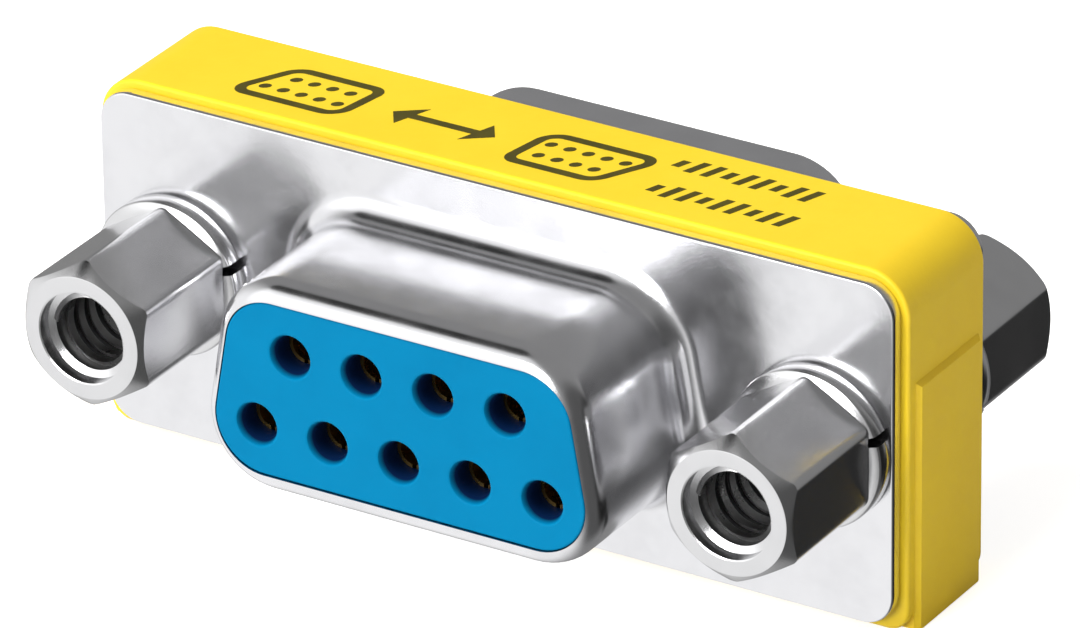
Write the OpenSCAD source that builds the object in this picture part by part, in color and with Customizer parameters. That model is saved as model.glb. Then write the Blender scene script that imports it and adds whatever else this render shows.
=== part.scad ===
// D-sub gender changer, 9-way socket to socket.
// Millimetres. X runs along the flanges, -Y is the front connector, +Y the rear one, +Z is up.
// The origin is on the surface that the housing stands on, under the middle of the part.
// The rear connector is the front one turned upside down, so each contact keeps its X place
// and only jogs from one row to the other, which keeps the pin numbers straight through.

/* [Housing] */
// Depth of the housing between the two flanges
housing_d = 5; // [4:0.1:12]
// How far the housing stands out round each flange
housing_margin = 0.3; // [0.1:0.05:1]
// Radius of the two top corners
housing_top_r = 1.6; // [0.5:0.1:3]
// Radius of the two bottom corners
housing_bottom_r = 0.5; // [0.2:0.1:1.5]
// How far the grip pad stands proud of each end
pad_proud = 0.2; // [0.1:0.05:0.6]
// Distance from the top of the housing down to the grip pad
pad_drop = 4; // [2:0.5:6]
// Border of the housing's end left in front of and behind the pad
pad_border = 0.4; // [0.2:0.1:1]

/* [Flanges] */
// From the axis of a screw out to the end of the flange
flange_margin = 2.905; // [2.6:0.005:4.5]
// Height of each flange
flange_h = 12.5; // [11.5:0.1:14]
// Thickness of each flange
flange_t = 0.5; // [0.4:0.05:1.2]
// Corner radius of each flange
flange_r = 1.2; // [0.5:0.1:2.5]
// From the wide side's sharp corner out to the axis of a screw
screw_margin = 4.33; // [4:0.01:5]

/* [Drawn shrouds] */
// From the axis of an end contact in the row of five out to the wide side's sharp corner
row_margin = 2.625; // [2.4:0.005:3]
// Height of the shroud
shroud_h = 7.9; // [7.6:0.05:8.4]
// Corner radius of the shroud
shroud_r = 2.6; // [2.2:0.1:3]
// Lean of the two short sides
shroud_lean = 10; // [6:1:12]
// Reach of the shroud beyond the flange
shroud_l = 5.9; // [5:0.1:8]
// Thickness of the drawn wall
wall = 0.4; // [0.3:0.05:0.5]
// Outer radius of the rolled lip
lip_r = 0.8; // [0.6:0.05:1]
// Radius where the wall is drawn out of the flange
draw_r = 0.9; // [0.3:0.1:1.2]

/* [Contacts] */
// Distance between contacts along a row
pitch = 2.77; // [2.6:0.01:2.8]
// Distance between the two rows
row_gap = 2.84; // [2.7:0.01:3]
// Outer diameter of a contact barrel
barrel_d = 1.7; // [1.5:0.05:1.9]
// Bore of a contact barrel, for a 1 mm pin
socket_d = 1.04; // [1.02:0.01:1.1]
// How far the barrels lie behind the blue face
contact_set = 1; // [0.6:0.1:1.5]
// Depth of each bore
socket_depth = 5; // [4:0.1:5.5]

/* [Hex posts] */
// Size across the flats
hex_af = 4.76; // [4.5:0.01:5]
// Reach of a post and its washer beyond the flange
post_l = 5.8; // [4:0.1:8]
// Bore that carries the thread for the mating screw
thread_bore_d = 2.3; // [2.1:0.05:2.4]
// Depth of that thread, from the outer end of the post
thread_l = 3.6; // [2.5:0.1:4]
// Depth of the wider plain mouth before the thread
mouth_bore_l = 0.5; // [0.2:0.1:1]
// Diameter of the stud that clamps the part together
stud_d = 2.8; // [2.6:0.05:2.9]
// How far the stud reaches into the rear post
stud_grip = 1; // [0.5:0.1:1.2]
// Thickness of the lock washers
washer_t = 0.7; // [0.4:0.05:1]
// Outer diameter of the lock washers
washer_d = 5.7; // [5.4:0.1:6.4]

/* [Hidden] */
$fn = 64;

yellow = [0.95, 0.82, 0.12];
blue = [0.05, 0.5, 0.78];
nickel = [0.8, 0.8, 0.82];
gold = [0.85, 0.68, 0.3];

FRONT = -1;
REAR = 1;
LEFT = -1;
RIGHT = 1;

// Widths, from the row of five contacts outwards: shroud at its wide side, screws, flange, housing
long_row = 5;
shroud_w = (long_row - 1) * pitch + 2 * row_margin;
screw_spacing = shroud_w + 2 * screw_margin;
flange_w = screw_spacing + 2 * flange_margin;
housing_w = flange_w + 2 * housing_margin;
housing_h = flange_h + 2 * housing_margin;
axis_z = housing_h / 2;
pad_bevel = pad_proud;

// Clearances, and how far a cutter runs past what it cuts
slip = 0.03;
stud_gap = 0.12;
over = 1;
screw_hole_d = stud_d + 2 * stud_gap;

// Heights above the housing's face, along the way each connector points
flange_z = flange_t;
shroud_z = flange_z + shroud_l;
post_z = flange_z + post_l;
hex_z = flange_z + washer_t;

// Steps in each rounded corner of the shroud and in each arc of its wall section
corner_steps = 9;
arc_steps = 6;
sink = 0.02;

// The lip leaves a mouth that the blue nose fills
mouth_step = 0.08;
lip_short = 0.1;
mouth_side = wall + mouth_step;
mouth_edge = lip_r - lip_short;
mouth_w = shroud_w - 2 * (mouth_side / cos(shroud_lean) + mouth_edge * tan(shroud_lean));
mouth_h = shroud_h - 2 * mouth_edge;
mouth_r = shroud_r - mouth_edge;

// The shoulder that holds each insulator behind its flange
shoulder_side = 1;
shoulder_rise = 0.6;
shoulder_w = shroud_w + 2 * shoulder_side;
shoulder_h = shroud_h + 2 * shoulder_rise;
shoulder_r = 1;
jog_room = 1;
shoulder_z = -(housing_d - jog_room) / 2;
face_set = 0.06;

// Contacts
entry_d = 1.3;
leadin_d = 1.8;
leadin_depth = 0.3;
barrel_top = shroud_z - face_set - contact_set;
barrel_floor = 0.8;
barrel_l = socket_depth + barrel_floor;
slot_w = 0.16;
slot_l = 0.6 * socket_depth;
neck_d = 0.8;
strip_w = 0.8;
strip_t = 0.3;
joint_d = strip_w + 0.2;
function row(count, v) = [for (i = [0:count - 1]) [(i - (count - 1) / 2) * pitch, v]];
contacts = concat(row(long_row, -row_gap / 2), row(long_row - 1, row_gap / 2));

// Hex posts
hex_r = hex_af / 2 / cos(30);
hex_chamfer = 30;
hex_chamfer_d = hex_af - 0.2;
mouth_flare = 0.45;
mouth_bore_d = thread_bore_d + 2 * mouth_flare;
washer_split = 0.35;
split_angle = 20;

// Skeleton of a D outline: the centres of its four corner arcs, wide side down
function corners(w, h, r, lean = shroud_lean) =
    let (
        side = r / cos(lean),
        low = w / 2 - r * tan(lean) - side,
        high = w / 2 - (h - r) * tan(lean) - side
    )
    [[low, r - h / 2], [high, h / 2 - r], [-high, h / 2 - r], [-low, r - h / 2]];

// Directions that the four sides face: right, top, left, bottom
side_facing = [shroud_lean, 90, 180 - shroud_lean, 270];

// Points of a D outline that lies reach away from its corner centres
function d_points(centres, reach) = [
    for (i = [0:3])
        let (start = side_facing[(i + 3) % 4], turn = (side_facing[i] - start + 360) % 360)
        for (k = [0:corner_steps])
            let (a = start + turn * k / corner_steps)
            centres[i] + reach * [cos(a), sin(a)]
];

// Points of an arc in a wall section, as reach and height
function arc(centre, radius, from, to) = [
    for (k = [0:arc_steps])
        let (a = from + (to - from) * k / arc_steps)
        centre + radius * [cos(a), sin(a)]
];

// A D outline, drawn in by inset all round
module d_outline(w, h, r, inset = 0) {
    polygon(d_points(corners(w, h, r), r - inset));
}

// Lofts a D outline up a wall section: a list of reach and height, from the foot to the top
module d_loft(w, h, r, section) {
    centres = corners(w, h, r);
    count = 4 * (corner_steps + 1);
    last = len(section) - 1;
    rings = [for (s = section) for (p = d_points(centres, s[0])) [p.x, p.y, s[1]]];
    foot = [for (i = [0:count - 1]) i];
    top = [for (i = [count - 1:-1:0]) last * count + i];
    walls = [for (level = [0:last - 1]) for (i = [0:count - 1])
        let (a = level * count + i, b = level * count + (i + 1) % count)
        [b, a, a + count, b + count]];
    polyhedron(rings, concat([foot, top], walls), convexity = 4);
}

// A rectangle with its own radius for the top and the bottom corners
module round_rect(w, h, top_r, bottom_r) {
    union() {
        for (s = [-1, 1]) {
            translate([s * (w / 2 - top_r), h / 2 - top_r])
                circle(top_r);
            translate([s * (w / 2 - bottom_r), bottom_r - h / 2])
                circle(bottom_r);
        }
        translate([top_r - w / 2, 0])
            square([w - 2 * top_r, h / 2]);
        translate([bottom_r - w / 2, -h / 2])
            square([w - 2 * bottom_r, h / 2]);
        translate([-w / 2, bottom_r - h / 2])
            square([w, h - top_r - bottom_r]);
    }
}

// Stands what it is given on one face of the housing, pointing away from it
module on_face(end) {
    translate([0, end * housing_d / 2, axis_z])
        rotate([end == FRONT ? 90 : -90, 0, 0])
            children();
}

// Housing

// A grip pad with bevelled front, rear and top edges, flush with the housing's base
module grip_pad() {
    pad_h = housing_h - pad_drop;
    pad_d = housing_d - 2 * pad_border;
    root = housing_top_r;
    intersection() {
        linear_extrude(pad_h)
            polygon([[-root, -pad_d / 2], [0, -pad_d / 2], [pad_proud, pad_bevel - pad_d / 2],
                [pad_proud, pad_d / 2 - pad_bevel], [0, pad_d / 2], [-root, pad_d / 2]]);
        translate([0, housing_d / 2, 0])
            rotate([90, 0, 0])
                linear_extrude(housing_d)
                    polygon([[-root, 0], [pad_proud, 0], [pad_proud, pad_h - pad_bevel],
                        [0, pad_h], [-root, pad_h]]);
    }
}

module housing() color(yellow) difference() {
    union() {
        translate([0, housing_d / 2, axis_z])
            rotate([90, 0, 0])
                linear_extrude(housing_d)
                    round_rect(housing_w, housing_h, housing_top_r, housing_bottom_r);
        for (turn = [0, 180])
            rotate(turn)
                translate([housing_w / 2, 0, 0])
                    grip_pad();
    }
    translate([0, housing_d / 2 + over, axis_z])
        rotate([90, 0, 0])
            linear_extrude(housing_d + 2 * over)
                round_rect(shoulder_w + 2 * slip, shoulder_h + 2 * slip, shoulder_r, shoulder_r);
    for (side = [LEFT, RIGHT])
        translate([side * screw_spacing / 2, housing_d / 2 + over, axis_z])
            rotate([90, 0, 0])
                cylinder(d = screw_hole_d, h = housing_d + 2 * over);
}

// Shells

// Wall section of the shroud's outside: draw radius at the foot, rolled lip at the top
outer_section = concat(
    [[shroud_r + draw_r, 0], [shroud_r + draw_r, flange_z - sink]],
    arc([shroud_r + draw_r, flange_z + draw_r], draw_r, 270 - 90 / arc_steps, 180),
    arc([shroud_r - lip_r, shroud_z - lip_r], lip_r, 0, 90)
);

// Wall section of the shroud's inside
inner_section = concat(
    [[shroud_r - wall, -over]],
    arc([shroud_r - lip_r, shroud_z - lip_r], lip_r - wall, 0, 90)
);

module shell(end) color(nickel) on_face(end) difference() {
    union() {
        linear_extrude(flange_t)
            round_rect(flange_w, flange_h, flange_r, flange_r);
        d_loft(shroud_w, shroud_h, shroud_r, outer_section);
    }
    d_loft(shroud_w, shroud_h, shroud_r, inner_section);
    translate([0, 0, shroud_z - lip_r])
        linear_extrude(lip_r + over)
            d_outline(mouth_w, mouth_h, mouth_r);
    for (side = [LEFT, RIGHT])
        translate([side * screw_spacing / 2, 0, -over])
            cylinder(d = screw_hole_d, h = flange_t + 2 * over);
}

// Insulators

module insulator(end) color(blue) on_face(end) difference() {
    union() {
        translate([0, 0, shoulder_z])
            linear_extrude(-shoulder_z)
                round_rect(shoulder_w, shoulder_h, shoulder_r, shoulder_r);
        linear_extrude(shroud_z - lip_r - slip)
            d_outline(shroud_w, shroud_h, shroud_r, wall + slip);
        translate([0, 0, shroud_z - lip_r - 2 * slip])
            linear_extrude(lip_r + 2 * slip - face_set)
                d_outline(mouth_w, mouth_h, mouth_r, slip);
    }
    for (place = contacts)
        translate(place) {
            translate([0, 0, shoulder_z - over])
                cylinder(d = barrel_d + 2 * slip, h = barrel_top + slip - shoulder_z + over);
            translate([0, 0, barrel_top])
                cylinder(d = entry_d, h = contact_set + over);
            translate([0, 0, shroud_z - face_set - leadin_depth])
                cylinder(d1 = entry_d, d2 = leadin_d + (leadin_d - entry_d), h = 2 * leadin_depth);
        }
}

// Contacts

// One barrel with its bore, sprung slot and neck, pointing up from the middle of the part
module barrel() {
    top = housing_d / 2 + barrel_top;
    difference() {
        union() {
            translate([0, 0, top - barrel_l])
                cylinder(d = barrel_d, h = barrel_l);
            cylinder(d = neck_d, h = top - barrel_l + slip);
        }
        translate([0, 0, top - socket_depth])
            cylinder(d = socket_d, h = socket_depth + over);
        translate([-slot_w / 2, -barrel_d, top - slot_l])
            cube([slot_w, 2 * barrel_d, slot_l + over]);
    }
}

// A double-ended socket: front barrel in its own row, rear barrel in the other row at the same X
module contact(n) color(gold) {
    place = contacts[n - 1];
    translate([place.x, 0, axis_z + place.y])
        rotate([90, 0, 0])
            barrel();
    translate([place.x, 0, axis_z - place.y])
        rotate([-90, 0, 0])
            barrel();
    translate([place.x, strip_t / 2, axis_z])
        rotate([90, 0, 0])
            linear_extrude(strip_t)
                union() {
                    square([strip_w, row_gap], center = true);
                    for (row = [-1, 1])
                        translate([0, row * row_gap / 2])
                            circle(d = joint_d);
                }
}

// Hex posts and lock washers

// Envelope that rounds off the outer end of a hex post
module hex_end() {
    reach = hex_r + slip;
    drop = (reach - hex_chamfer_d / 2) * tan(hex_chamfer);
    rotate_extrude()
        polygon([[0, hex_z], [reach, hex_z], [reach, post_z - drop], [hex_chamfer_d / 2, post_z],
            [0, post_z]]);
}

module hex_bar() {
    intersection() {
        translate([0, 0, hex_z])
            rotate(30)
                cylinder(r = hex_r, h = post_z - hex_z, $fn = 6);
        hex_end();
    }
}

// The threaded hole in the outer end, with its wider plain mouth
module thread_hole() {
    translate([0, 0, post_z - thread_l])
        cylinder(d = thread_bore_d, h = thread_l + over);
    translate([0, 0, post_z - mouth_bore_l])
        cylinder(d = mouth_bore_d, h = mouth_bore_l + over);
}

// Front post: the stud through the whole part is turned in one piece with it
module front_post(side) color(nickel) {
    stud_l = 2 * hex_z + housing_d + stud_grip;
    on_face(FRONT)
        translate([side * screw_spacing / 2, 0, 0]) {
            difference() {
                hex_bar();
                thread_hole();
            }
            translate([0, 0, hex_z - stud_l])
                cylinder(d = stud_d, h = stud_l);
        }
}

// Rear post: a nut on the stud at its inner end, open for a screw at its outer end
module rear_post(side) color(nickel)
    on_face(REAR)
        translate([side * screw_spacing / 2, 0, 0])
            difference() {
                hex_bar();
                thread_hole();
                translate([0, 0, hex_z - over])
                    cylinder(d = stud_d + 2 * slip, h = stud_grip + slip + over);
            }

module washer(end, side) color(nickel)
    on_face(end)
        translate([side * screw_spacing / 2, 0, flange_z])
            difference() {
                cylinder(d = washer_d, h = washer_t);
                translate([0, 0, -over])
                    cylinder(d = screw_hole_d, h = washer_t + 2 * over);
                rotate(split_angle)
                    translate([0, -washer_split / 2, -over])
                        cube([washer_d, washer_split, washer_t + 2 * over]);
            }

housing();
shell(FRONT);  // front_shell
shell(REAR);  // rear_shell
insulator(FRONT);  // front_insulator
insulator(REAR);  // rear_insulator
contact(1);  // contact_1
contact(2);  // contact_2
contact(3);  // contact_3
contact(4);  // contact_4
contact(5);  // contact_5
contact(6);  // contact_6
contact(7);  // contact_7
contact(8);  // contact_8
contact(9);  // contact_9
front_post(LEFT);  // front_post_left
front_post(RIGHT);  // front_post_right
rear_post(LEFT);  // rear_post_left
rear_post(RIGHT);  // rear_post_right
washer(FRONT, LEFT);  // front_washer_left
washer(FRONT, RIGHT);  // front_washer_right
washer(REAR, LEFT);  // rear_washer_left
washer(REAR, RIGHT);  // rear_washer_right
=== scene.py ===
"""Looks of a nine-way D-sub gender changer: housing, drawn shells, blue insulators and hex posts.

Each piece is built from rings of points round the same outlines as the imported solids, with the
small edge radii that a real moulding, pressing or turned part has.
"""

import math

import bmesh
import bpy
from mathutils import Matrix, Vector

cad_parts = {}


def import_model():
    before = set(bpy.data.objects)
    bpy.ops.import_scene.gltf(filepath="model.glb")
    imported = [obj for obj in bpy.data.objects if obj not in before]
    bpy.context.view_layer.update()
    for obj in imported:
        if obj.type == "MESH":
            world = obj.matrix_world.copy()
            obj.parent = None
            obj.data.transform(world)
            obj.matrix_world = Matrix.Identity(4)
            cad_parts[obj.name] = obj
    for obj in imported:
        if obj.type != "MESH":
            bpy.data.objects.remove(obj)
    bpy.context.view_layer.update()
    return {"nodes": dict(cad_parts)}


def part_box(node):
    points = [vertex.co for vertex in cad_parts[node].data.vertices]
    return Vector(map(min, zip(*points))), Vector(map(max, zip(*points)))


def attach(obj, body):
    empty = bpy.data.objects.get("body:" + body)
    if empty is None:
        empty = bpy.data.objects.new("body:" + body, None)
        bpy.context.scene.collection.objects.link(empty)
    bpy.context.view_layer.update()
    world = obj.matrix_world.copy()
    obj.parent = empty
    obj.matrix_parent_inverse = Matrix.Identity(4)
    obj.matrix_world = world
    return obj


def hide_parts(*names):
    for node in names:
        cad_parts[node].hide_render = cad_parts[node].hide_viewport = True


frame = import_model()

MM = 0.001
TAU = 2 * math.pi
NODES = frame["nodes"]

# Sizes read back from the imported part, in millimetres


def extent(node):
    """Size and middle of a node's box, in millimetres."""
    low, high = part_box(node)
    return (high - low) / MM, (high + low) / 2 / MM


housing_size = extent("housing")[0]
shell_size, shell_mid = extent("front_shell")
post_size, post_mid = extent("rear_post_right")
washer_size, washer_mid = extent("rear_washer_right")
insulator_size, insulator_mid = extent("front_insulator")

AXIS_Z = shell_mid.z
HOUSING_D = housing_size.y
HOUSING_H = housing_size.z
FLANGE_W = shell_size.x
FLANGE_H = shell_size.z
MARGIN = (HOUSING_H - FLANGE_H) / 2
HOUSING_W = FLANGE_W + 2 * MARGIN
PAD_PROUD = (housing_size.x - HOUSING_W) / 2
SCREW_X = post_mid.x
WASHER_T = washer_size.y
WASHER_R = washer_size.z / 2
HEX_R = post_size.z / 2
HEX_AF = 2 * HEX_R * math.cos(math.pi / 6)
SHROUD_TOP = shell_size.y
POST_TOP = post_mid.y + post_size.y / 2 - HOUSING_D / 2
FLANGE_T = washer_mid.y - WASHER_T / 2 - HOUSING_D / 2
HEX_FOOT = FLANGE_T + WASHER_T
SHOULDER_W = insulator_size.x
SHOULDER_H = insulator_size.z
SHOULDER_FOOT = -(insulator_mid.y + insulator_size.y / 2) - HOUSING_D / 2
FACE_TOP = -(insulator_mid.y - insulator_size.y / 2) - HOUSING_D / 2

# Sizes of the drawn shroud and the small features, in millimetres
SHROUD_W = 16.33
SHROUD_H = 7.9
SHROUD_R = 2.6
LEAN = 10
WALL = 0.4
LIP_R = 0.8
DRAW_R = 0.9
MOUTH_SIDE = WALL + 0.08
MOUTH_EDGE = LIP_R - 0.1
MOUTH_W = SHROUD_W - 2 * (MOUTH_SIDE / math.cos(math.radians(LEAN))
                          + MOUTH_EDGE * math.tan(math.radians(LEAN)))
MOUTH_H = SHROUD_H - 2 * MOUTH_EDGE
MOUTH_R = SHROUD_R - MOUTH_EDGE
LIP_STEPS = 10
SLIP = 0.03
FLANGE_R = 1.2
FLANGE_EDGE = 0.09
HOUSING_TOP_R = 1.6
HOUSING_BOTTOM_R = 0.8
HOUSING_EDGE = 0.12
PAD_DROP = 4
PAD_BORDER = 0.4
PITCH = 2.77
ROW_GAP = 2.84
BARREL_R = 0.88
ENTRY_R = 0.65
LEADIN_R = 0.82
LEADIN_DEPTH = 0.3
CONTACT_SET = 1
STUD_R = 1.4
SCREW_HOLE_R = 1.52
HEX_END_R = HEX_AF / 2 - 0.16
HEX_CHAMFER = 42
HEX_EASE = 0.05
HEX_STEPS = 144
STUD_GRIP = 1
THREAD_MINOR_R = 1.15
THREAD_MAJOR_R = 1.42
THREAD_PITCH = 0.635
THREAD_DEPTH = 3.6
THREAD_MOUTH_R = 1.66
THREAD_MOUTH_DEPTH = 0.5
THREAD_STEP_DEPTH = 0.25
THREAD_SINK = 0.03
THREAD_STEPS = 40
THREAD_INPUTS = (("Turns", "Float"), ("Pitch", "Float"), ("Crest Radius", "Float"),
                 ("Tooth", "Float"), ("Steps", "Int"), ("Material", "Material"))
WASHER_HOLE_R = 1.52
WASHER_EDGE = 0.08
WASHER_SPLIT = 0.35
WASHER_SPLIT_ANGLE = math.radians(20)
WASHER_STEPS = 96

# Print on top of the housing, in millimetres
PRINT_T = 0.01
PRINT_LINE = 0.34
PRINT_SLANT = 0.35
PRINT_X = (-8.6, -3.4, 1.8)
PRINT_Y = -0.25
PRINT_SOCKET = (4.6, 2.7)
PRINT_ARROW = (2.0, 0.75)
PRINT_ROWS = ((1.1, 5.0, 9), (-0.9, 5.2, 9))
PRINT_DASH = (0.3, 0.9)
PRINT_STEP = 0.62

FRONT = -1
REAR = 1
ROWS = ((-ROW_GAP / 2, 5), (ROW_GAP / 2, 4))
CONTACTS = [((i - (n - 1) / 2) * PITCH, v) for v, n in ROWS for i in range(n)]


def on_face(end):
    """Places a shape drawn as across, up and out on one face of the housing, in metres."""
    turn = Matrix.Rotation(math.radians(90 if end == FRONT else -90), 4, "X")
    foot = Matrix.Translation(Vector((0, end * HOUSING_D / 2, AXIS_Z)) * MM)
    return foot @ turn @ Matrix.Scale(MM, 4)


# Outlines


def d_centres(w, h, r):
    """Centres of the four corner arcs of a D outline, wide side down."""
    lean = math.radians(LEAN)
    side = r / math.cos(lean)
    low = w / 2 - r * math.tan(lean) - side
    high = w / 2 - (h - r) * math.tan(lean) - side
    return [(low, r - h / 2), (high, h / 2 - r), (-high, h / 2 - r), (-low, r - h / 2)]


D_FACING = [LEAN, 90, 180 - LEAN, 270]
CORNER_STEPS = 16


def d_ring(w, h, r, reach, t):
    """Points of a D outline that lies reach away from its corner centres, at height t."""
    ring = []
    for i, (x, y) in enumerate(d_centres(w, h, r)):
        start = D_FACING[i - 1]
        turn = (D_FACING[i] - start) % 360
        for k in range(CORNER_STEPS + 1):
            a = math.radians(start + turn * k / CORNER_STEPS)
            ring.append(Vector((x + reach * math.cos(a), y + reach * math.sin(a), t)))
    return ring


def rect_ring(w, h, top_r, bottom_r, inset, t):
    """Points of a rectangle with its own top and bottom corner radius, drawn in by inset."""
    ring = []
    corners = ((1, -1, bottom_r, 270), (1, 1, top_r, 0), (-1, 1, top_r, 90), (-1, -1, bottom_r, 180))
    for sx, sy, r, start in corners:
        x = sx * (w / 2 - r)
        y = sy * (h / 2 - r)
        reach = r - inset
        for k in range(CORNER_STEPS + 1):
            a = math.radians(start + 90 * k / CORNER_STEPS)
            ring.append(Vector((x + reach * math.cos(a), y + reach * math.sin(a), t)))
    return ring


def circle_ring(x, y, r, t, count=48, start=0.0):
    """Points of a circle at height t."""
    step = TAU / count
    return [Vector((x + r * math.cos(start + step * k), y + r * math.sin(start + step * k), t))
            for k in range(count)]


# Mesh building


class Shape:
    """Collects rings of points into one closed mesh."""

    def __init__(self):
        self.bm = bmesh.new()

    def ring(self, points):
        return [self.bm.verts.new(p) for p in points]

    def skin(self, rings):
        """Joins rings of equal count with quads, and gives back the first and last."""
        made = [self.ring(points) for points in rings]
        for low, high in zip(made, made[1:]):
            for i in range(len(low)):
                j = (i + 1) % len(low)
                self.bm.faces.new((low[i], low[j], high[j], high[i]))
        return made[0], made[-1]

    def bridge(self, low, high):
        for i in range(len(low)):
            j = (i + 1) % len(low)
            self.bm.faces.new((low[i], low[j], high[j], high[i]))

    def fill(self, *rings):
        """Fills the flat region between one outer ring and any rings inside it."""
        edges = []
        for ring in rings:
            for i, v in enumerate(ring):
                pair = (v, ring[(i + 1) % len(ring)])
                edges.append(self.bm.edges.get(pair) or self.bm.edges.new(pair))
        bmesh.ops.triangle_fill(self.bm, edges=edges, use_beauty=True)

    def finish(self, name, place, material, sharp=32):
        """Closes the mesh, points its faces outwards and makes the object."""
        bmesh.ops.remove_doubles(self.bm, verts=self.bm.verts, dist=1e-5)
        bmesh.ops.recalc_face_normals(self.bm, faces=self.bm.faces)
        self.bm.transform(place)
        mesh = bpy.data.meshes.new(name)
        self.bm.to_mesh(mesh)
        self.bm.free()
        for polygon in mesh.polygons:
            polygon.use_smooth = True
        mesh.set_sharp_from_angle(angle=math.radians(sharp))
        mesh.materials.append(material)
        piece = bpy.data.objects.new(name, mesh)
        bpy.context.scene.collection.objects.link(piece)
        return piece


def rounded(make, r, t_from, t_to, steps=5):
    """Rings round a convex edge of radius r, from a flat face at t_from down a wall to t_to.

    make(inset, t) gives a ring. The first ring lies on the flat face a little inside the edge.
    """
    way = 1 if t_to > t_from else -1
    rings = [make(r * 1.25, t_from)]
    for k in range(steps + 1):
        a = math.pi / 2 * k / steps
        rings.append(make(r * (1 - math.sin(a)), t_from + way * r * (1 - math.cos(a))))
    rings.append(make(0, t_from + way * r * 1.25))
    rings.append(make(0, t_to))
    return rings


# Materials


def new_material(name):
    material = bpy.data.materials.new(name)
    material.use_nodes = True
    tree = material.node_tree
    return material, tree, tree.nodes["Principled BSDF"]


def node_group(name, inputs, outputs):
    """An empty shader group with named inputs (name, kind, value) and outputs (name, kind)."""
    tree = bpy.data.node_groups.new(name, "ShaderNodeTree")
    for label, kind, value in inputs:
        socket = tree.interface.new_socket(label, in_out="INPUT", socket_type="NodeSocket" + kind)
        socket.default_value = value
    for label, kind in outputs:
        tree.interface.new_socket(label, in_out="OUTPUT", socket_type="NodeSocket" + kind)
    return tree, tree.nodes.new("NodeGroupInput"), tree.nodes.new("NodeGroupOutput")


def add(tree, kind, **values):
    """A node with its properties and, by socket name, its input values."""
    node = tree.nodes.new(kind)
    for key, value in values.items():
        if hasattr(node, key):
            setattr(node, key, value)
        else:
            node.inputs[key.replace("_", " ")].default_value = value
    return node


def mottle_group():
    """Soft patches of slightly different tone and gloss, as handling and plating leave."""
    inputs = [("Color", "Color", (0.8, 0.8, 0.8, 1)), ("Dark", "Color", (0.5, 0.5, 0.5, 1)),
              ("Scale", "Float", 300.0), ("Amount", "Float", 0.2),
              ("Roughness", "Float", 0.3), ("Roughness Change", "Float", 0.1)]
    tree, given, out = node_group("mottle", inputs, [("Color", "Color"), ("Roughness", "Float")])
    place = tree.nodes.new("ShaderNodeTexCoord")
    noise = add(tree, "ShaderNodeTexNoise", Detail=4.0, Roughness=0.55)
    tree.links.new(place.outputs["Object"], noise.inputs["Vector"])
    tree.links.new(given.outputs["Scale"], noise.inputs["Scale"])
    level = add(tree, "ShaderNodeMapRange", interpolation_type="SMOOTHSTEP")
    level.inputs["From Min"].default_value = 0.35
    level.inputs["From Max"].default_value = 0.75
    tree.links.new(noise.outputs["Fac"], level.inputs["Value"])
    amount = add(tree, "ShaderNodeMath", operation="MULTIPLY")
    tree.links.new(level.outputs["Result"], amount.inputs[0])
    tree.links.new(given.outputs["Amount"], amount.inputs[1])
    mix = add(tree, "ShaderNodeMix", data_type="RGBA")
    tree.links.new(amount.outputs["Value"], mix.inputs["Factor"])
    tree.links.new(given.outputs["Color"], mix.inputs["A"])
    tree.links.new(given.outputs["Dark"], mix.inputs["B"])
    rough = add(tree, "ShaderNodeMath", operation="MULTIPLY_ADD")
    tree.links.new(level.outputs["Result"], rough.inputs[0])
    tree.links.new(given.outputs["Roughness Change"], rough.inputs[1])
    tree.links.new(given.outputs["Roughness"], rough.inputs[2])
    tree.links.new(mix.outputs["Result"], out.inputs["Color"])
    tree.links.new(rough.outputs["Value"], out.inputs["Roughness"])
    return tree


def grain_group():
    """Fine surface grain as a height, stretched along one direction where a tool left marks."""
    inputs = [("Scale", "Float", 4000.0), ("Stretch", "Vector", (1, 1, 1)), ("Height", "Float", 1.0)]
    tree, given, out = node_group("grain", inputs, [("Height", "Float")])
    place = tree.nodes.new("ShaderNodeTexCoord")
    stretch = add(tree, "ShaderNodeVectorMath", operation="MULTIPLY")
    tree.links.new(place.outputs["Object"], stretch.inputs[0])
    tree.links.new(given.outputs["Stretch"], stretch.inputs[1])
    noise = add(tree, "ShaderNodeTexNoise", Detail=3.0, Roughness=0.6)
    tree.links.new(stretch.outputs["Vector"], noise.inputs["Vector"])
    tree.links.new(given.outputs["Scale"], noise.inputs["Scale"])
    height = add(tree, "ShaderNodeMath", operation="MULTIPLY")
    tree.links.new(noise.outputs["Fac"], height.inputs[0])
    tree.links.new(given.outputs["Height"], height.inputs[1])
    tree.links.new(height.outputs["Value"], out.inputs["Height"])
    return tree


MOTTLE = mottle_group()
GRAIN = grain_group()


def surface(name, color, dark, amount, roughness, change, mottle_scale, grain_scale, depth,
            stretch=(1, 1, 1), metallic=0.0):
    """A material with the shared mottle and grain, and its own values."""
    material, tree, shader = new_material(name)
    shader.inputs["Metallic"].default_value = metallic
    mottle = tree.nodes.new("ShaderNodeGroup")
    mottle.node_tree = MOTTLE
    mottle.inputs["Color"].default_value = (*color, 1)
    mottle.inputs["Dark"].default_value = (*dark, 1)
    mottle.inputs["Scale"].default_value = mottle_scale
    mottle.inputs["Amount"].default_value = amount
    mottle.inputs["Roughness"].default_value = roughness
    mottle.inputs["Roughness Change"].default_value = change
    tree.links.new(mottle.outputs["Color"], shader.inputs["Base Color"])
    tree.links.new(mottle.outputs["Roughness"], shader.inputs["Roughness"])
    grain = tree.nodes.new("ShaderNodeGroup")
    grain.node_tree = GRAIN
    grain.inputs["Scale"].default_value = grain_scale
    grain.inputs["Stretch"].default_value = stretch
    bump = add(tree, "ShaderNodeBump", Distance=depth, Strength=1.0)
    tree.links.new(grain.outputs["Height"], bump.inputs["Height"])
    tree.links.new(bump.outputs["Normal"], shader.inputs["Normal"])
    return material, tree, shader, mottle


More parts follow.
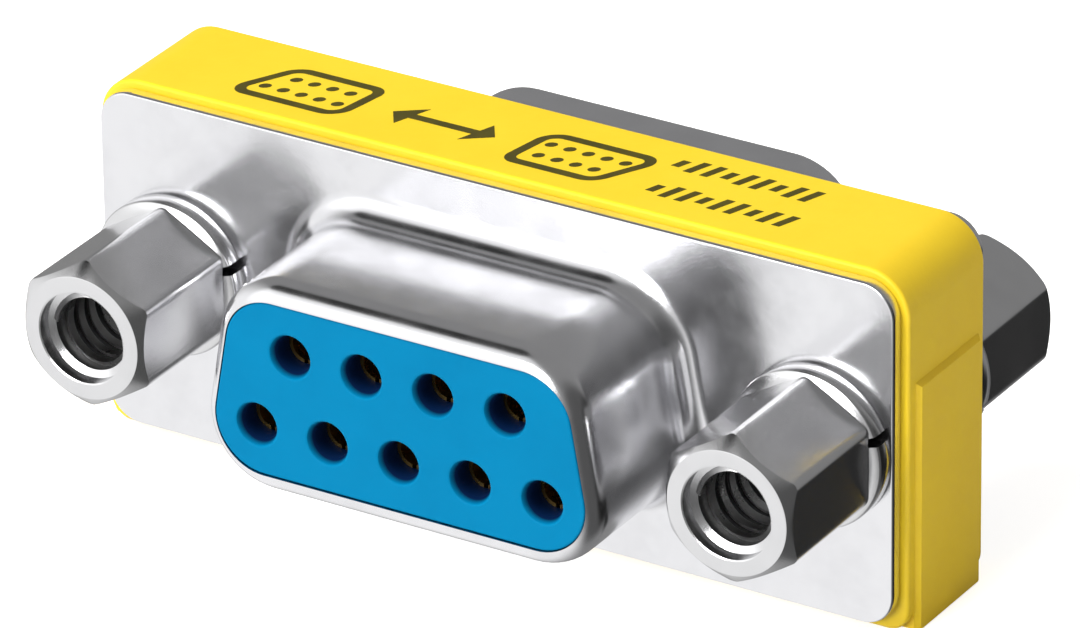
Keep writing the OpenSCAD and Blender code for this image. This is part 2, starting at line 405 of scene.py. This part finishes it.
def plain(*values, **more):
    return surface(*values, **more)[0]


yellow = plain("yellow_moulding", (0.93, 0.66, 0.02), (0.80, 0.50, 0.01), 0.25, 0.38, 0.10,
               260, 5000, 0.000006)
nickel = plain("bright_nickel", (0.86, 0.86, 0.88), (0.62, 0.62, 0.64), 0.25, 0.16, 0.10,
               500, 2600, 0.000002, metallic=1.0)
turned = plain("turned_nickel", (0.78, 0.78, 0.79), (0.6, 0.6, 0.61), 0.25, 0.2, 0.05,
               420, 5000, 0.000003, stretch=(1, 0.12, 1), metallic=1.0)
thread_steel = plain("thread_steel", (0.72, 0.72, 0.72), (0.45, 0.45, 0.45), 0.4, 0.26, 0.1,
                     900, 5000, 0.000002, metallic=1.0)
# Near-black steel for the bore walls is painted shade inside the bores.
shaded_bore_steel = plain("shaded_bore_steel", (0.17, 0.17, 0.17), (0.08, 0.08, 0.08), 0.4, 0.42, 0.1,
                   900, 5000, 0.000002, metallic=1.0)
# Gold darker than its own tone: the darkening is painted shade for contacts set deep in the holes.
shaded_gold = plain("gold_contact", (0.58, 0.38, 0.12), (0.38, 0.24, 0.07), 0.3, 0.25, 0.1,
             900, 5000, 0.000002, metallic=1.0)
ink = plain("print_ink", (0.06, 0.05, 0.004), (0.12, 0.10, 0.01), 0.4, 0.5, 0.1,
            1500, 5000, 0.000003)


def blue_moulding():
    """Satin blue plastic, with painted shade darkening the walls inside the contact holes."""
    material, tree, shader, mottle = surface(
        "blue_moulding", (0.0, 0.195, 0.395), (0.0, 0.15, 0.32), 0.3, 0.42, 0.1,
        350, 6000, 0.000005)
    shader.inputs["Specular IOR Level"].default_value = 0.05
    place = tree.nodes.new("ShaderNodeTexCoord")
    axes = tree.nodes.new("ShaderNodeSeparateXYZ")
    tree.links.new(place.outputs["Object"], axes.inputs["Vector"])
    depth = add(tree, "ShaderNodeMath", operation="ABSOLUTE")
    tree.links.new(axes.outputs["Y"], depth.inputs[0])
    # Painted shade: past the face, the blue turns near-black navy down into the contact holes.
    face = (HOUSING_D / 2 + FACE_TOP) * MM
    painted_hole_shade = add(tree, "ShaderNodeMapRange", clamp=True)
    painted_hole_shade.inputs["From Min"].default_value = face - 0.22 * MM
    painted_hole_shade.inputs["From Max"].default_value = face - 0.03 * MM
    tree.links.new(depth.outputs["Value"], painted_hole_shade.inputs["Value"])
    mix = add(tree, "ShaderNodeMix", data_type="RGBA")
    mix.inputs["A"].default_value = (0.002, 0.012, 0.05, 1)
    tree.links.new(painted_hole_shade.outputs["Result"], mix.inputs["Factor"])
    tree.links.new(mottle.outputs["Color"], mix.inputs["B"])
    tree.links.new(mix.outputs["Result"], shader.inputs["Base Color"])
    return material


blue = blue_moulding()


# Pieces


def show(piece, slot, *nodes):
    """Rides the piece on the part and lets it stand for its nodes."""
    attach(piece, "root")
    if nodes:
        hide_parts(*nodes)
    return piece


def shell(end, name):
    """Drawn shell: flange plate, draw radius, shroud wall and rolled lip in one sheet."""
    shape = Shape()

    def wall(reach, t):
        return d_ring(SHROUD_W, SHROUD_H, SHROUD_R, reach, t)

    def lip(a):
        """Ring of the rolled lip at angle a, from the wall towards the mouth."""
        ring = []
        for o, m in zip(wall(SHROUD_R, 0), d_ring(MOUTH_W, MOUTH_H, MOUTH_R, MOUTH_R, 0)):
            inward = m - o
            most = math.acos(1 - min(1, inward.length / LIP_R))
            angle = a * most
            p = o + inward.normalized() * LIP_R * (1 - math.cos(angle))
            p.z = SHROUD_TOP - LIP_R + LIP_R * math.sin(angle)
            ring.append(p)
        return ring

    rim = 0.04
    mouth = d_ring(MOUTH_W, MOUTH_H, MOUTH_R, MOUTH_R, SHROUD_TOP)
    sunk = [Vector((p.x, p.y, q.z - rim)) for p, q in zip(mouth, lip(1.0))]
    hidden = [Vector((p.x, p.y, SHROUD_TOP - LIP_R)) for p in mouth]
    rings = [wall(SHROUD_R - WALL, 0), wall(SHROUD_R - WALL, SHROUD_TOP - LIP_R), hidden, sunk]
    rings += [lip(1 - k / LIP_STEPS) for k in range(LIP_STEPS + 1)]
    foot = FLANGE_T + DRAW_R
    rings.append(wall(SHROUD_R, foot + 0.02))
    for k in range(LIP_STEPS + 1):
        a = math.pi / 2 * k / LIP_STEPS
        rings.append(wall(SHROUD_R + DRAW_R * (1 - math.cos(a)), foot - DRAW_R * math.sin(a)))
    rings.append(wall(SHROUD_R + DRAW_R + 0.05, FLANGE_T))
    inside, outside = shape.skin(rings)

    def plate(inset, t):
        return rect_ring(FLANGE_W, FLANGE_H, FLANGE_R, FLANGE_R, inset, t)

    rings = rounded(plate, FLANGE_EDGE, FLANGE_T, FLANGE_EDGE * 1.25)
    rings += list(reversed(rounded(plate, FLANGE_EDGE, 0, FLANGE_EDGE * 1.25)))[2:]
    top, bottom = shape.skin(rings)
    holes = [shape.skin([circle_ring(s * SCREW_X, 0, SCREW_HOLE_R, t) for t in (0, FLANGE_T)])
             for s in (-1, 1)]
    shape.fill(top, outside, holes[0][1], holes[1][1])
    shape.fill(bottom, inside, holes[0][0], holes[1][0])
    return shape.finish(name, on_face(end), nickel)


def insulator(end, name):
    """Blue moulding: nose through the shell's mouth, nine entries and the shoulder behind."""
    shape = Shape()

    def nose(inset, t):
        return d_ring(MOUTH_W, MOUTH_H, MOUTH_R, MOUTH_R - SLIP - inset, t)

    body_top = SHROUD_TOP - LIP_R - SLIP
    rings = rounded(nose, 0.07, FACE_TOP, body_top)
    body_reach = SHROUD_R - WALL - SLIP
    rings.append(d_ring(SHROUD_W, SHROUD_H, SHROUD_R, body_reach, body_top))
    rings.append(d_ring(SHROUD_W, SHROUD_H, SHROUD_R, body_reach, 0))
    face, foot = shape.skin(rings)

    def shoulder(inset, t):
        return rect_ring(SHOULDER_W, SHOULDER_H, 1, 1, inset, t)

    step, back = shape.skin([shoulder(0, 0), shoulder(0, SHOULDER_FOOT)])
    mouths = []
    ends = []
    for x, y in CONTACTS:
        entry = FACE_TOP - CONTACT_SET
        profile = [(LEADIN_R + 0.06, FACE_TOP), (LEADIN_R + 0.02, FACE_TOP),
                   (LEADIN_R - 0.02, FACE_TOP - 0.02), (ENTRY_R + 0.02, FACE_TOP - LEADIN_DEPTH + 0.02),
                   (ENTRY_R, FACE_TOP - LEADIN_DEPTH - 0.02), (ENTRY_R, entry), (BARREL_R, entry),
                   (BARREL_R, SHOULDER_FOOT)]
        mouth, end_ring = shape.skin([circle_ring(x, y, r, t, 40) for r, t in profile])
        mouths.append(mouth)
        ends.append(end_ring)
    shape.fill(face, *mouths)
    shape.fill(step, foot)
    shape.fill(back, *ends)
    return shape.finish(name, on_face(end), blue)


def hex_reach(angle):
    """Distance from a post's axis to its side in one direction, with the six corners just eased."""
    nearest_flat = round(angle / (TAU / 6)) * (TAU / 6)
    return min(HEX_AF / 2 / math.cos(angle - nearest_flat), HEX_R - HEX_EASE)


def hex_post(end, side, name, stud):
    """Hex post with a chamfered end and a bore darkened inside by painted shade, with or without a stud.
    """
    shape = Shape()
    x = side * SCREW_X
    slope = math.tan(math.radians(HEX_CHAMFER))

    def hex_ring(height, reach):
        """Ring of a hex section; height and reach each follow from the full reach of the side."""
        ring = []
        for k in range(HEX_STEPS):
            a = TAU * k / HEX_STEPS
            full = hex_reach(a)
            r = reach(full)
            ring.append(Vector((x + r * math.cos(a), r * math.sin(a), height(full))))
        return ring

    def crest(full):
        return POST_TOP - (full - HEX_END_R) * slope

    ease = HEX_EASE
    rings = [
        hex_ring(lambda full: HEX_FOOT, lambda full: STUD_R + 0.4),
        hex_ring(lambda full: HEX_FOOT, lambda full: full - ease),
        hex_ring(lambda full: HEX_FOOT + ease, lambda full: full),
        hex_ring(lambda full: crest(full) - ease, lambda full: full),
        hex_ring(lambda full: crest(full) + ease * slope / 2, lambda full: full - ease),
        hex_ring(lambda full: POST_TOP - ease / 3, lambda full: HEX_END_R + ease / 3),
        hex_ring(lambda full: POST_TOP, lambda full: HEX_END_R - ease),
    ]
    deep = POST_TOP - THREAD_DEPTH
    ledge = POST_TOP - THREAD_MOUTH_DEPTH
    bore = [(THREAD_MOUTH_R + ease, POST_TOP), (THREAD_MOUTH_R, POST_TOP - ease / 2),
            (THREAD_MOUTH_R, ledge), (THREAD_MAJOR_R, ledge - THREAD_STEP_DEPTH / 2),
            (THREAD_MAJOR_R, deep)]
    rings += [circle_ring(x, 0, r, t, HEX_STEPS) for r, t in bore]
    foot, floor = shape.skin(rings)
    if stud:
        tip = HEX_FOOT - stud
        rod = shape.skin([circle_ring(x, 0, r, t, HEX_STEPS) for r, t in
                          ((STUD_R, HEX_FOOT), (STUD_R, tip + ease), (STUD_R - ease, tip))])
        shape.bridge(rod[0], foot)
        shape.fill(floor)
        shape.fill(rod[1])
    else:
        socket = STUD_R + SLIP
        grip = HEX_FOOT + STUD_GRIP
        inner = shape.skin([circle_ring(x, 0, r, t, HEX_STEPS) for r, t in
                            ((socket, HEX_FOOT), (socket, grip), (THREAD_MINOR_R, grip + 0.05),
                             (THREAD_MINOR_R, deep))])
        shape.bridge(inner[0], foot)
        shape.bridge(inner[1], floor)
    post = shape.finish(name, on_face(end), turned, sharp=24)
    post.data.materials.append(shaded_bore_steel)
    # Faces inside the bore, past the foot of the hex, take the near-black steel as painted shade.
    axis = Vector((x, AXIS_Z))
    for polygon in post.data.polygons:
        middle = polygon.center / MM
        off_axis = (Vector((middle.x, middle.z)) - axis).length
        if off_axis < THREAD_MAJOR_R and abs(middle.y) > HOUSING_D / 2 + HEX_FOOT + ease:
            polygon.material_index = 1
    return post


def washer(end, side, name):
    """Split lock washer with eased edges."""
    shape = Shape()
    x = side * SCREW_X
    ease = WASHER_EDGE
    section = [(WASHER_HOLE_R + ease, FLANGE_T), (WASHER_R - ease, FLANGE_T), (WASHER_R, FLANGE_T + ease),
               (WASHER_R, HEX_FOOT - ease), (WASHER_R - ease, HEX_FOOT), (WASHER_HOLE_R + ease, HEX_FOOT),
               (WASHER_HOLE_R, HEX_FOOT - ease), (WASHER_HOLE_R, FLANGE_T + ease)]
    gap = WASHER_SPLIT / WASHER_R
    start = WASHER_SPLIT_ANGLE + gap / 2
    made = []
    for k in range(WASHER_STEPS + 1):
        a = start + (TAU - gap) * k / WASHER_STEPS
        made.append(shape.ring([Vector((x + r * math.cos(a), r * math.sin(a), t)) for r, t in section]))
    for low, high in zip(made, made[1:]):
        shape.bridge(low, high)
    shape.bm.faces.new(made[0])
    shape.bm.faces.new(list(reversed(made[-1])))
    return shape.finish(name, on_face(end), turned, sharp=50)


def housing():
    """Moulded frame between the flanges, with a grip pad at each end."""
    shape = Shape()
    half = HOUSING_D / 2

    def outline(inset, t):
        return rect_ring(HOUSING_W, HOUSING_H, HOUSING_TOP_R, HOUSING_BOTTOM_R, inset, t)

    rings = rounded(outline, HOUSING_EDGE, half, 0)[:-1]
    rings += list(reversed(rounded(outline, HOUSING_EDGE, -half, 0)[:-1]))
    front, back = shape.skin(rings)
    inner = [rect_ring(SHOULDER_W + 2 * SLIP, SHOULDER_H + 2 * SLIP, 1, 1, 0, t) for t in (half, -half)]
    cavity = shape.skin(inner)
    holes = [shape.skin([circle_ring(s * SCREW_X, 0, SCREW_HOLE_R, t) for t in (half, -half)])
             for s in (-1, 1)]
    shape.fill(front, cavity[0], holes[0][0], holes[1][0])
    shape.fill(back, cavity[1], holes[0][1], holes[1][1])
    middle = Matrix.Translation(Vector((0, 0, AXIS_Z)) * MM) @ Matrix.Rotation(math.pi / 2, 4, "X")
    body = shape.finish("housing_shell", middle @ Matrix.Scale(MM, 4), yellow)
    for side in (-1, 1):
        join(body, grip_pad(side))
    body.data.set_sharp_from_angle(angle=math.radians(32))
    return body


def thread_tree():
    """Nodes that set a right-hand internal thread into every bore, one on each point."""
    tree = bpy.data.node_groups.new("bore_threads", "GeometryNodeTree")
    tree.is_modifier = True
    tree.interface.new_socket("Geometry", in_out="INPUT", socket_type="NodeSocketGeometry")
    for label, kind in THREAD_INPUTS:
        tree.interface.new_socket(label, in_out="INPUT", socket_type="NodeSocket" + kind)
    tree.interface.new_socket("Geometry", in_out="OUTPUT", socket_type="NodeSocketGeometry")
    given = tree.nodes.new("NodeGroupInput")
    link = tree.links.new

    def math_node(operation, first, second):
        node = add(tree, "ShaderNodeMath", operation=operation)
        for socket, value in zip(node.inputs, (first, second)):
            if isinstance(value, (int, float)):
                socket.default_value = value
            else:
                link(value, socket)
        return node.outputs["Value"]

    path_r = math_node("ADD", given.outputs["Crest Radius"], given.outputs["Tooth"])
    spiral = add(tree, "GeometryNodeCurveSpiral", Reverse=True)
    link(given.outputs["Steps"], spiral.inputs["Resolution"])
    link(given.outputs["Turns"], spiral.inputs["Rotations"])
    link(path_r, spiral.inputs["Start Radius"])
    link(path_r, spiral.inputs["End Radius"])
    link(math_node("MULTIPLY", given.outputs["Turns"], given.outputs["Pitch"]), spiral.inputs["Height"])
    upright = tree.nodes.new("GeometryNodeSetCurveNormal")
    upright.mode = "Z_UP"
    link(spiral.outputs["Curve"], upright.inputs["Curve"])
    tooth = add(tree, "GeometryNodeCurvePrimitiveCircle", Resolution=3)
    link(given.outputs["Tooth"], tooth.inputs["Radius"])
    ridge = tree.nodes.new("GeometryNodeCurveToMesh")
    ridge.inputs["Fill Caps"].default_value = True
    link(upright.outputs["Curve"], ridge.inputs["Curve"])
    link(tooth.outputs["Curve"], ridge.inputs["Profile Curve"])
    place = tree.nodes.new("GeometryNodeInputPosition")
    axes = tree.nodes.new("ShaderNodeSeparateXYZ")
    link(place.outputs["Position"], axes.inputs["Vector"])
    away = math_node("MULTIPLY", math_node("SIGN", axes.outputs["Y"], 0), -math.pi / 2)
    turn = tree.nodes.new("ShaderNodeCombineXYZ")
    link(away, turn.inputs["X"])
    bores = tree.nodes.new("GeometryNodeMeshToPoints")
    link(given.outputs["Geometry"], bores.inputs["Mesh"])
    spread = tree.nodes.new("GeometryNodeInstanceOnPoints")
    link(bores.outputs["Points"], spread.inputs["Points"])
    link(ridge.outputs["Mesh"], spread.inputs["Instance"])
    link(turn.outputs["Vector"], spread.inputs["Rotation"])
    real = tree.nodes.new("GeometryNodeRealizeInstances")
    link(spread.outputs["Instances"], real.inputs["Geometry"])
    finish = tree.nodes.new("GeometryNodeSetMaterial")
    link(real.outputs["Geometry"], finish.inputs["Geometry"])
    link(given.outputs["Material"], finish.inputs["Material"])
    link(finish.outputs["Geometry"], tree.nodes.new("NodeGroupOutput").inputs["Geometry"])
    return tree


def grown(name, points, tree, values):
    """Runs a node tree on a few points with its named inputs set, and keeps the plain mesh."""
    seed = bpy.data.meshes.new(name + "_points")
    seed.from_pydata([tuple(p) for p in points], [], [])
    piece = bpy.data.objects.new(name, seed)
    bpy.context.scene.collection.objects.link(piece)
    modifier = piece.modifiers.new("grow", "NODES")
    modifier.node_group = tree
    for item in tree.interface.items_tree:
        if item.item_type == "SOCKET" and item.in_out == "INPUT" and item.name in values:
            modifier[item.identifier] = values[item.name]
    graph = bpy.context.evaluated_depsgraph_get()
    piece.data = bpy.data.meshes.new_from_object(piece.evaluated_get(graph))
    piece.modifiers.remove(modifier)
    bpy.data.meshes.remove(seed)
    return piece


def bore_threads():
    """The four internal threads, each from the floor of its bore up to the plain mouth."""
    mouth = POST_TOP - THREAD_MOUTH_DEPTH - THREAD_STEP_DEPTH / 2
    turns = (THREAD_DEPTH - THREAD_MOUTH_DEPTH - THREAD_STEP_DEPTH) / THREAD_PITCH
    foot = HOUSING_D / 2 + mouth - turns * THREAD_PITCH
    points = [Vector((side * SCREW_X, end * foot, AXIS_Z)) * MM
              for end in (FRONT, REAR) for side in (-1, 1)]
    tooth = (THREAD_MAJOR_R - THREAD_MINOR_R + THREAD_SINK) / 1.5
    values = {"Turns": turns, "Pitch": THREAD_PITCH * MM, "Crest Radius": THREAD_MINOR_R * MM,
              "Tooth": tooth * MM, "Steps": THREAD_STEPS, "Material": thread_steel}
    piece = grown("post_bore_threads", points, thread_tree(), values)
    for polygon in piece.data.polygons:
        polygon.use_smooth = True
    piece.data.set_sharp_from_angle(angle=math.radians(40))
    return piece


def slanted(x, y):
    """Leans a printed shape the way the marks on the housing lean."""
    return Vector((x + PRINT_SLANT * y, y))


def ring_of(points, w):
    """Offsets a closed outline inwards by w, point by point."""
    inner = []
    for i, p in enumerate(points):
        before = (p - points[i - 1]).normalized()
        after = (points[(i + 1) % len(points)] - p).normalized()
        normal = Vector((-(before.y + after.y), before.x + after.x)).normalized()
        inner.append(p + normal * w / max(0.5, math.sqrt((1 + before.dot(after)) / 2)))
    return inner


def stamp(shape, outline, hole=None):
    """Lays one closed patch of ink on the top of the housing."""
    top = 2 * AXIS_Z + PRINT_T
    loops = []
    for points in (outline, hole):
        if points:
            high = shape.ring([Vector((p.x, p.y, top)) for p in points])
            low = shape.ring([Vector((p.x, p.y, top - 2 * PRINT_T)) for p in points])
            shape.bridge(low, high)
            loops.append((low, high))
    shape.fill(*[high for low, high in loops])
    shape.fill(*[low for low, high in loops])


def printed_marks():
    """Plain pictures of two sockets with an arrow between them, and two short rows of dashes."""
    shape = Shape()

    def put(points, x, y, scale=1):
        return [slanted(p.x * scale, p.y * scale) + Vector((x, y)) for p in points]

    def dot(x, y, r, count=12):
        return [Vector((x + r * math.cos(TAU * k / count), y + r * math.sin(TAU * k / count)))
                for k in range(count)]

    def bar(w, h):
        return [Vector((-w / 2, -h / 2)), Vector((w / 2, -h / 2)), Vector((w / 2, h / 2)),
                Vector((-w / 2, h / 2))]

    w, h = PRINT_SOCKET
    frame_d = [Vector((p.x, p.y)) for p in d_ring(w, h, h / 4, h / 4, 0)]
    for x, way in ((PRINT_X[0], 1), (PRINT_X[2], -1)):
        stamp(shape, put(frame_d, x, PRINT_Y, way), put(ring_of(frame_d, PRINT_LINE), x, PRINT_Y, way))
        for v, n in ((-h / 6, 5), (h / 6, 4)):
            for i in range(n):
                pin = dot((i - (n - 1) / 2) * w / 6.4, v, h / 14)
                stamp(shape, put(pin, x, PRINT_Y, way))
    half, head = PRINT_ARROW
    shaft = PRINT_LINE / 2
    right = [Vector((0, -shaft)), Vector((half - head, -shaft)), Vector((half - head, -head)),
             Vector((half, 0)), Vector((half - head, head)), Vector((half - head, shaft)),
             Vector((0, shaft))]
    left = [Vector((-p.x, p.y)) for p in reversed(right[1:-1])]
    stamp(shape, put(right[:1] + right[1:-1] + right[-1:] + left, PRINT_X[1], PRINT_Y))
    for y, x, n in PRINT_ROWS:
        for i in range(n):
            tall = PRINT_DASH[1] * (1 if i % 3 else 0.6)
            stamp(shape, put(bar(PRINT_DASH[0], tall), x + i * PRINT_STEP, y))
    return shape.finish("printed_marks", Matrix.Scale(MM, 4), ink)


def grip_pad(side):
    """Solid of one grip pad, drawn from its inner face to its bevelled outer face."""
    shape = Shape()
    depth = HOUSING_D / 2 - PAD_BORDER
    height = HOUSING_H - PAD_DROP
    ease = 0.05
    levels = [(-HOUSING_TOP_R, 0), (0, 0), (PAD_PROUD - ease * 0.4, PAD_PROUD - ease),
              (PAD_PROUD, PAD_PROUD + ease)]

    def ring(out, inset):
        corners = [(-depth + inset, 0), (depth - inset, 0), (depth - inset, height - inset),
                   (-depth + inset, height - inset)]
        return [Vector((side * (HOUSING_W / 2 + out), y, z)) for y, z in corners]

    low, high = shape.skin([ring(out, inset) for out, inset in levels])
    shape.bm.faces.new(low)
    shape.bm.faces.new(high)
    return shape.finish("grip_pad", Matrix.Scale(MM, 4), yellow)


def join(body, tool):
    """Unites tool with body and removes tool."""
    union = body.modifiers.new("union", "BOOLEAN")
    union.operation = "UNION"
    union.solver = "EXACT"
    union.object = tool
    graph = bpy.context.evaluated_depsgraph_get()
    mesh = bpy.data.meshes.new_from_object(body.evaluated_get(graph))
    body.modifiers.remove(union)
    old = body.data
    body.data = mesh
    bpy.data.meshes.remove(old)
    bpy.data.objects.remove(tool)


show(housing(), "yellow_plastic", "housing")
show(printed_marks(), "yellow_plastic")
show(bore_threads(), "nickel_post")
for end, word in ((FRONT, "front"), (REAR, "rear")):
    show(shell(end, word + "_drawn_shell"), "nickel_shell", word + "_shell")
    show(insulator(end, word + "_blue_moulding"), "blue_plastic", word + "_insulator")
    for side, hand in ((-1, "left"), (1, "right")):
        stud = 2 * HEX_FOOT + HOUSING_D + STUD_GRIP if end == FRONT else 0
        show(hex_post(end, side, f"{word}_{hand}_hex_post", stud),
             "nickel_post", f"{word}_post_{hand}")
        show(washer(end, side, f"{word}_{hand}_lock_washer"), "nickel_washer", f"{word}_washer_{hand}")

# Contacts take the darkened gold, which carries painted shade.
for name, node in NODES.items():
    if name.startswith("contact_"):
        node.data.materials.clear()
        node.data.materials.append(shaded_gold)


# Studio

VIEW_AZIMUTH = math.radians(31.7)
VIEW_ELEVATION = math.radians(26.8)
VIEW_ROLL = math.radians(-0.8)
VIEW_DISTANCE = 330
VIEW_LENS = 330.5
VIEW_SHIFT_RIGHT = 1.65
VIEW_SHIFT_UP = 1.36
WORLD_FILL = 0.35
FLOOR_GLOW = 0.71
FLOOR_COLOR = (0.8, 0.8, 0.8, 1)
FLOOR_HALF = 1.5
FLOOR_GAP = 0.00002
WARM_WHITE = (1, 0.95, 0.88, 1)
WHITE = (1, 1, 1, 1)
ROOM_DIM = 0.24
# Parts of the room seen in metal: direction, where it starts, where it is full, and its level
BRIGHT_LOBES = (((-0.75, -0.45, -0.45), 0.2, 0.8, 0.76),
                ((-0.47, -0.76, 0.45), 0.8, 0.95, 0.5))
DARK_LOBES = (((0.93, -0.3, -0.25), 0.42, 0.78, 0.375),
              ((0.52, 0.68, -0.52), 0.93, 0.985, 0.075),
              ((0.93, 0.25, -0.25), 0.8, 0.95, 0.15),
              ((-0.47, -0.3, 0.83), 0.95, 0.985, 0.1))
# Lamps: name, place, size, power, and whether gloss shows them
LAMP_AIM = (0, 0, 0.006)
LAMPS = (("key", (-0.2, -0.3, 0.55), (0.35, 0.35), 4.0, False),
         ("front", (-0.1, -0.6, 0.2), (0.3, 0.25), 2.0, True),
         ("rear", (-0.15, 0.6, 0.15), (0.3, 0.25), 1.2, False))


def camera():
    """Camera at the photo's angle, aimed a little right of and above the front flange's middle."""
    a, e = VIEW_AZIMUTH, VIEW_ELEVATION
    back = Vector((math.sin(a) * math.cos(e), -math.cos(a) * math.cos(e), math.sin(e)))
    right = Vector((math.cos(a), math.sin(a), 0))
    up = back.cross(right)
    c, s = math.cos(VIEW_ROLL), math.sin(VIEW_ROLL)
    right, up = right * c + up * s, up * c - right * s
    flange = Vector((0, -HOUSING_D / 2 - FLANGE_T, AXIS_Z))
    aim = flange + right * VIEW_SHIFT_RIGHT + up * VIEW_SHIFT_UP
    data = bpy.data.cameras.new("camera")
    data.lens = VIEW_LENS
    data.clip_start = 0.01
    data.clip_end = 20
    made = bpy.data.objects.new("camera", data)
    bpy.context.scene.collection.objects.link(made)
    turn = Matrix((right, up, back)).transposed().to_4x4()
    made.matrix_world = Matrix.Translation((aim + back * VIEW_DISTANCE) * MM) @ turn
    bpy.context.scene.camera = made


def area_lamp(name, place, size, power, in_gloss):
    data = bpy.data.lights.new(name, "AREA")
    data.shape = "RECTANGLE"
    data.size, data.size_y = size
    data.energy = power
    made = bpy.data.objects.new(name, data)
    bpy.context.scene.collection.objects.link(made)
    made.location = place
    made.rotation_euler = (Vector(LAMP_AIM) - Vector(place)).to_track_quat("-Z", "Y").to_euler()
    made.visible_glossy = in_gloss


def lobe(tree, place, axis, start, end, low, high):
    """A level that rises from low to high as a direction turns towards an axis."""
    toward = add(tree, "ShaderNodeVectorMath", operation="DOT_PRODUCT")
    tree.links.new(place.outputs["Generated"], toward.inputs[0])
    toward.inputs[1].default_value = Vector(axis).normalized()
    level = add(tree, "ShaderNodeMapRange", interpolation_type="SMOOTHSTEP")
    for socket, value in (("From Min", start), ("From Max", end), ("To Min", low), ("To Max", high)):
        level.inputs[socket].default_value = value
    tree.links.new(toward.outputs["Value"], level.inputs["Value"])
    return level


def world():
    """White to the camera; to metal, a dim room that is bright at the front left.

    It is darker at the right, and darkest in small parts of the right side, right rear and ceiling.
    """
    made = bpy.data.worlds.new("studio")
    bpy.context.scene.world = made
    made.use_nodes = True
    tree = made.node_tree
    soft = tree.nodes["Background"]
    soft.inputs["Color"].default_value = WARM_WHITE
    soft.inputs["Strength"].default_value = WORLD_FILL
    place = tree.nodes.new("ShaderNodeTexCoord")
    level = add(tree, "ShaderNodeMath", operation="ADD")
    level.inputs[0].default_value = ROOM_DIM
    level.inputs[1].default_value = 0
    steps = [("ADD", lobe(tree, place, axis, start, end, 0, gain))
             for axis, start, end, gain in BRIGHT_LOBES]
    steps += [("MULTIPLY", lobe(tree, place, axis, start, end, 1, left))
              for axis, start, end, left in DARK_LOBES]
    for operation, part in steps:
        following = add(tree, "ShaderNodeMath", operation=operation)
        tree.links.new(level.outputs["Value"], following.inputs[0])
        tree.links.new(part.outputs["Result"], following.inputs[1])
        level = following
    room = add(tree, "ShaderNodeBackground", Color=WHITE)
    tree.links.new(level.outputs["Value"], room.inputs["Strength"])
    white = add(tree, "ShaderNodeBackground", Color=WHITE)
    path = tree.nodes.new("ShaderNodeLightPath")
    seen = tree.nodes.new("ShaderNodeMixShader")
    tree.links.new(path.outputs["Is Glossy Ray"], seen.inputs["Fac"])
    tree.links.new(soft.outputs["Background"], seen.inputs[1])
    tree.links.new(room.outputs["Background"], seen.inputs[2])
    mix = tree.nodes.new("ShaderNodeMixShader")
    tree.links.new(path.outputs["Is Camera Ray"], mix.inputs["Fac"])
    tree.links.new(seen.outputs["Shader"], mix.inputs[1])
    tree.links.new(white.outputs["Background"], mix.inputs[2])
    tree.links.new(mix.outputs["Shader"], tree.nodes["World Output"].inputs["Surface"])


def floor():
    """Plain pale floor that metal doesn't show, lifted towards white for the camera."""
    bm = bmesh.new()
    bmesh.ops.create_grid(bm, x_segments=4, y_segments=4, size=FLOOR_HALF)
    mesh = bpy.data.meshes.new("floor")
    bm.to_mesh(mesh)
    bm.free()
    material, tree, shader = new_material("pale_floor")
    shader.inputs["Base Color"].default_value = FLOOR_COLOR
    shader.inputs["Roughness"].default_value = 1
    shader.inputs["Specular IOR Level"].default_value = 0
    glow = add(tree, "ShaderNodeEmission")
    path = tree.nodes.new("ShaderNodeLightPath")
    seen = add(tree, "ShaderNodeMath", operation="MULTIPLY")
    seen.inputs[1].default_value = FLOOR_GLOW
    tree.links.new(path.outputs["Is Camera Ray"], seen.inputs[0])
    tree.links.new(seen.outputs["Value"], glow.inputs["Strength"])
    both = tree.nodes.new("ShaderNodeAddShader")
    tree.links.new(shader.outputs["BSDF"], both.inputs[0])
    tree.links.new(glow.outputs["Emission"], both.inputs[1])
    tree.links.new(both.outputs["Shader"], tree.nodes["Material Output"].inputs["Surface"])
    mesh.materials.append(material)
    made = bpy.data.objects.new("floor", mesh)
    bpy.context.scene.collection.objects.link(made)
    made.location.z = -FLOOR_GAP
    made.visible_glossy = False


camera()
world()
floor()
for lamp in LAMPS:
    area_lamp(*lamp)

bpy.context.scene.view_settings.view_transform = "Standard"
